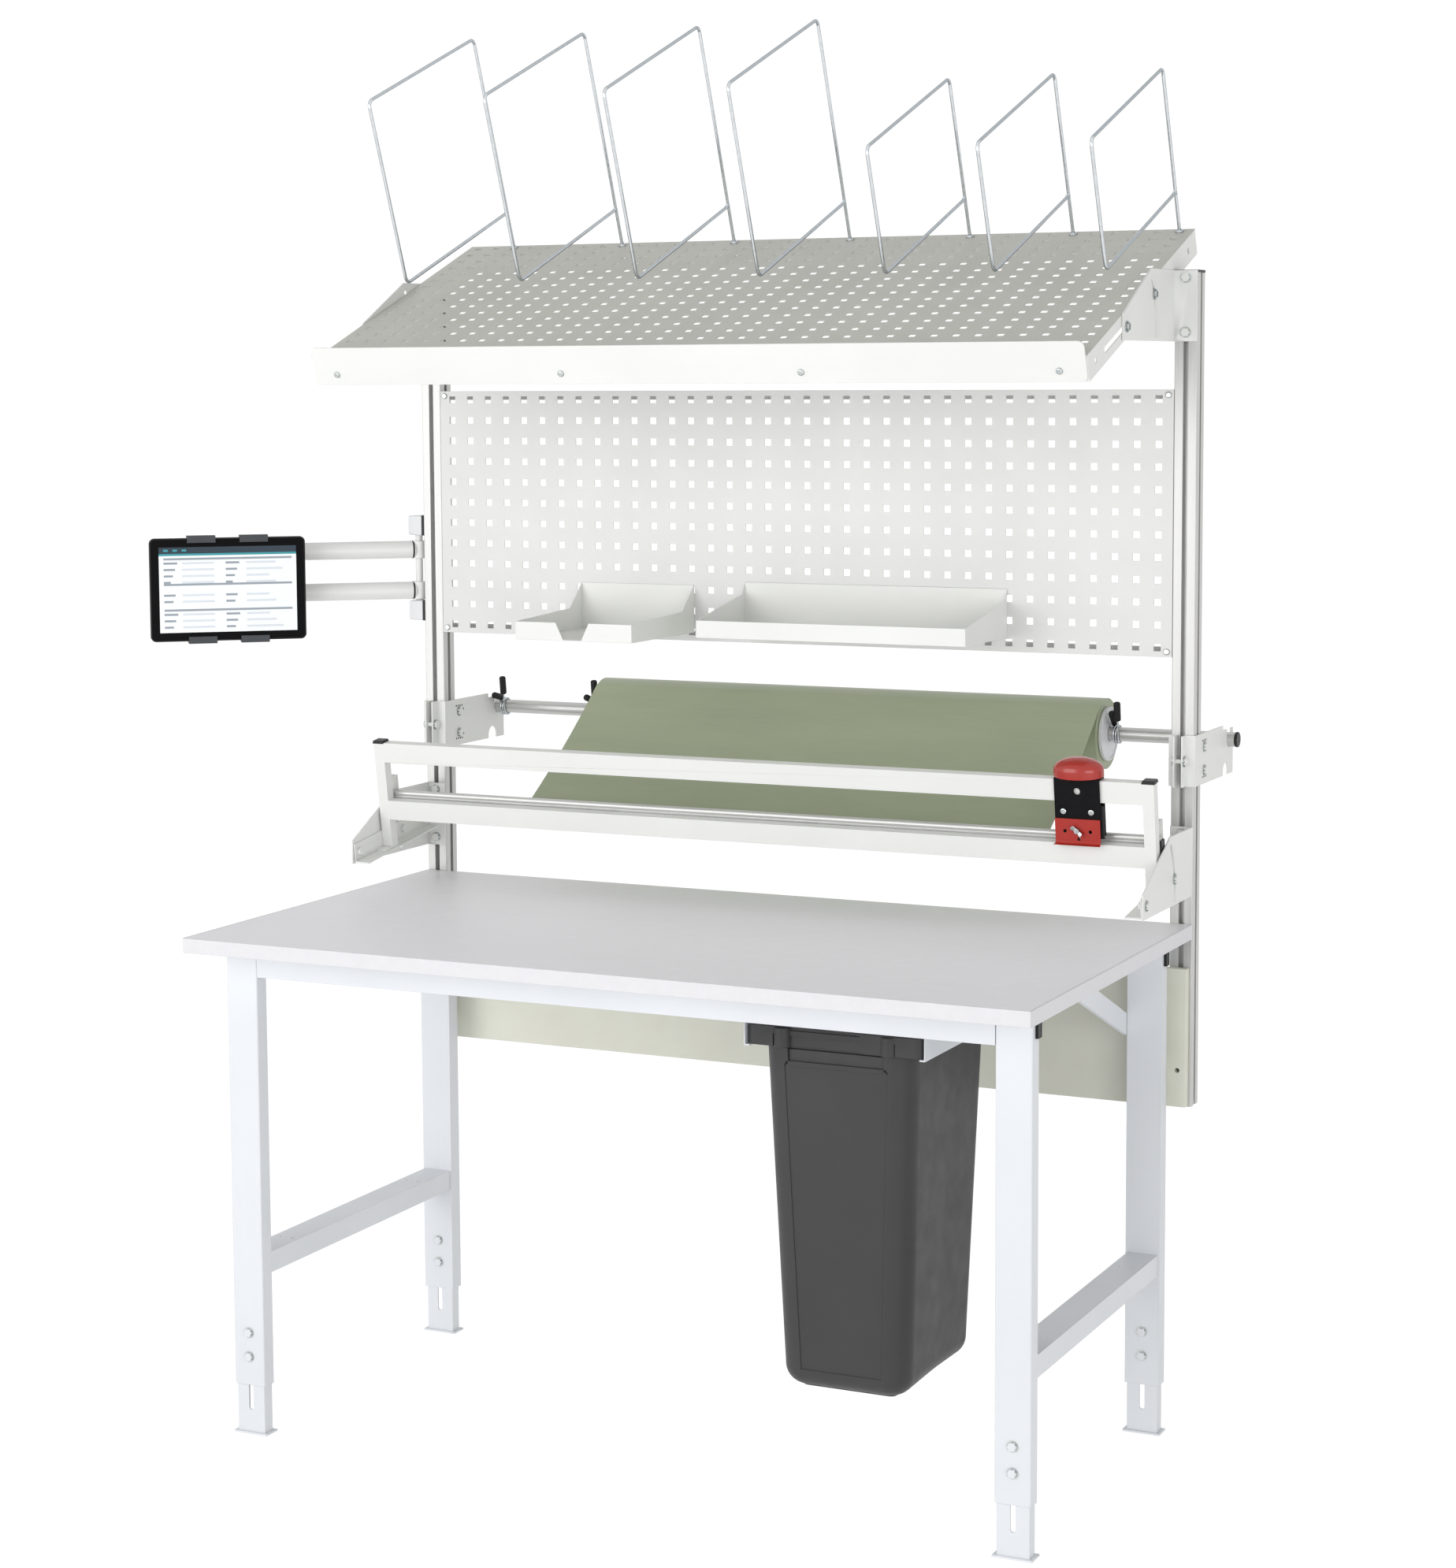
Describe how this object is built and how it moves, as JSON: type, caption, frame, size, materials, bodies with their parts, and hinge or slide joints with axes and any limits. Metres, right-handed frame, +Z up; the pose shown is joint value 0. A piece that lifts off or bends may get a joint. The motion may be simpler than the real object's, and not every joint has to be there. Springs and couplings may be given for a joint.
{
  "type": "packing table",
  "caption": "Packing table with adjustable feet, tilting divider shelf, perforated panel with trays, film roll and cutter, tablet on a swing arm and a hanging waste bin.",
  "frame": {"origin": "centre of the whole part's footprint, on the floor", "axes": "+X to the worker's right, +Y from the worker to the back, +Z up"},
  "size_m": [1.8992, 1.06, 2.4114],
  "materials": {
    "laminate": "laminated board, smooth light grey",
    "edge_band": "near-white edge band",
    "painted_steel": "light grey powder coat",
    "plain_board": "beige-grey melamine board",
    "anodised_aluminium": "clear anodised",
    "chrome_wire": "bright plated wire",
    "spring_steel": "spring wire",
    "white_plastic": "moulded white",
    "green_film": "grey-green film",
    "black_plastic": "moulded black",
    "red_paint": "red paint",
    "red_plastic": "moulded red",
    "jaw_plastic": "moulded dark grey",
    "bin_plastic": "moulded dark grey"
  },
  "bodies": {
    "root": {"arm_bracket": "painted_steel", "bin_rail_left": "painted_steel", "bin_rail_right": "painted_steel", "brace_left": "painted_steel", "brace_right": "painted_steel", "cross_bar_left": "painted_steel", "cross_bar_right": "painted_steel", "cutter_bracket_left": "painted_steel", "cutter_bracket_right": "painted_steel", "film_web": "green_film", "large_tray": "painted_steel", "leg_front_left": "painted_steel", "leg_front_right": "painted_steel", "leg_rear_left": "painted_steel", "leg_rear_right": "painted_steel", "modesty_board": "plain_board", "roll_bar": "anodised_aluminium", "roll_bar_cap": "black_plastic", "roll_bracket_left": "painted_steel", "roll_bracket_right": "painted_steel", "shelf_bracket_left": "painted_steel", "shelf_bracket_right": "painted_steel", "small_tray": "painted_steel", "spring_collar_1": "spring_steel", "spring_collar_2": "spring_steel", "spring_collar_3": "spring_steel", "tool_panel": "painted_steel", "top_frame": "painted_steel", "upright_left": "anodised_aluminium", "upright_right": "anodised_aluminium", "worktop": "laminate", "worktop_edge": "edge_band"},
    "foot_front_left": {"foot_front_left": "painted_steel"},
    "foot_front_right": {"foot_front_right": "painted_steel"},
    "foot_rear_left": {"foot_rear_left": "painted_steel"},
    "foot_rear_right": {"foot_rear_right": "painted_steel"},
    "shelf": {"shelf": "painted_steel", "shelf_lip": "painted_steel"},
    "divider_1": {"divider_1": "chrome_wire"},
    "divider_2": {"divider_2": "chrome_wire"},
    "divider_3": {"divider_3": "chrome_wire"},
    "divider_4": {"divider_4": "chrome_wire"},
    "divider_5": {"divider_5": "chrome_wire"},
    "divider_6": {"divider_6": "chrome_wire"},
    "divider_7": {"divider_7": "chrome_wire"},
    "roll": {"film_roll": "green_film", "roll_cone_left": "white_plastic", "roll_cone_right": "white_plastic"},
    "cutter": {"cutter_frame": "painted_steel", "cutter_arm_left": "painted_steel", "cutter_arm_right": "painted_steel"},
    "carriage": {"cutter_carriage": "black_plastic", "carriage_grip": "red_plastic", "blade_plate": "red_paint"},
    "press_bar": {"press_bar": "anodised_aluminium"},
    "swing_arm": {"swing_arm": "anodised_aluminium"},
    "holder": {"tablet_holder": "jaw_plastic", "tablet": "black_plastic"},
    "jaw": {"holder_jaw": "jaw_plastic"},
    "waste_bin": {"waste_bin": "bin_plastic"}
  },
  "joints": [
    {"name": "foot_front_left_height", "type": "slide", "parent": "root", "child": "foot_front_left", "axis": [0, 0, 1], "range_m": [-0.2, 0.08]},
    {"name": "foot_front_right_height", "type": "slide", "parent": "root", "child": "foot_front_right", "axis": [0, 0, 1], "range_m": [-0.2, 0.08]},
    {"name": "foot_rear_left_height", "type": "slide", "parent": "root", "child": "foot_rear_left", "axis": [0, 0, 1], "range_m": [-0.2, 0.08]},
    {"name": "foot_rear_right_height", "type": "slide", "parent": "root", "child": "foot_rear_right", "axis": [0, 0, 1], "range_m": [-0.2, 0.08]},
    {"name": "shelf_tilt", "type": "hinge", "parent": "root", "child": "shelf", "pos_m": [0.17931, 0.017, 1.8747], "axis": [1, 0, 0], "range_deg": [-21, 9]},
    {"name": "divider_1_lift", "type": "slide", "parent": "shelf", "child": "divider_1", "axis": [0, -0.3584, 0.9336], "range_m": [0, 0.06]},
    {"name": "divider_2_lift", "type": "slide", "parent": "shelf", "child": "divider_2", "axis": [0, -0.3584, 0.9336], "range_m": [0, 0.06]},
    {"name": "divider_3_lift", "type": "slide", "parent": "shelf", "child": "divider_3", "axis": [0, -0.3584, 0.9336], "range_m": [0, 0.06]},
    {"name": "divider_4_lift", "type": "slide", "parent": "shelf", "child": "divider_4", "axis": [0, -0.3584, 0.9336], "range_m": [0, 0.06]},
    {"name": "divider_5_lift", "type": "slide", "parent": "shelf", "child": "divider_5", "axis": [0, -0.3584, 0.9336], "range_m": [0, 0.06]},
    {"name": "divider_6_lift", "type": "slide", "parent": "shelf", "child": "divider_6", "axis": [0, -0.3584, 0.9336], "range_m": [0, 0.06]},
    {"name": "divider_7_lift", "type": "slide", "parent": "shelf", "child": "divider_7", "axis": [0, -0.3584, 0.9336], "range_m": [0, 0.06]},
    {"name": "roll_spin", "type": "hinge", "parent": "root", "child": "roll", "pos_m": [0.17931, 0.467, 1.165], "axis": [1, 0, 0], "continuous": true},
    {"name": "cutter_tilt", "type": "hinge", "parent": "root", "child": "cutter", "pos_m": [0.17931, 0.017, 0.941], "axis": [1, 0, 0], "range_deg": [-12, 22], "deforming": ["film_web"]},
    {"name": "carriage_slide", "type": "slide", "parent": "cutter", "child": "carriage", "axis": [1, 0, 0], "range_m": [-1.28, 0.06]},
    {"name": "press_lift", "type": "slide", "parent": "cutter", "child": "press_bar", "axis": [0, -0.1426, 0.9898], "range_m": [0, 0.02]},
    {"name": "arm_swing", "type": "hinge", "parent": "root", "child": "swing_arm", "pos_m": [-0.59299, 0.2903, 1.4375], "axis": [0, 0, 1], "range_deg": [-120, 45]},
    {"name": "holder_tilt", "type": "hinge", "parent": "swing_arm", "child": "holder", "pos_m": [-0.85331, 0.0327, 1.4375], "axis": [0.766, 0.6428, 0], "range_deg": [-20, 20]},
    {"name": "jaw_slide", "type": "slide", "parent": "holder", "child": "jaw", "axis": [0, 0, 1], "range_m": [0, 0.03], "stiffness_N_per_m": 300, "springref_m": -0.02},
    {"name": "bin_slide", "type": "slide", "parent": "root", "child": "waste_bin", "axis": [0, -1, 0], "range_m": [0, 0.3]}
  ]
}
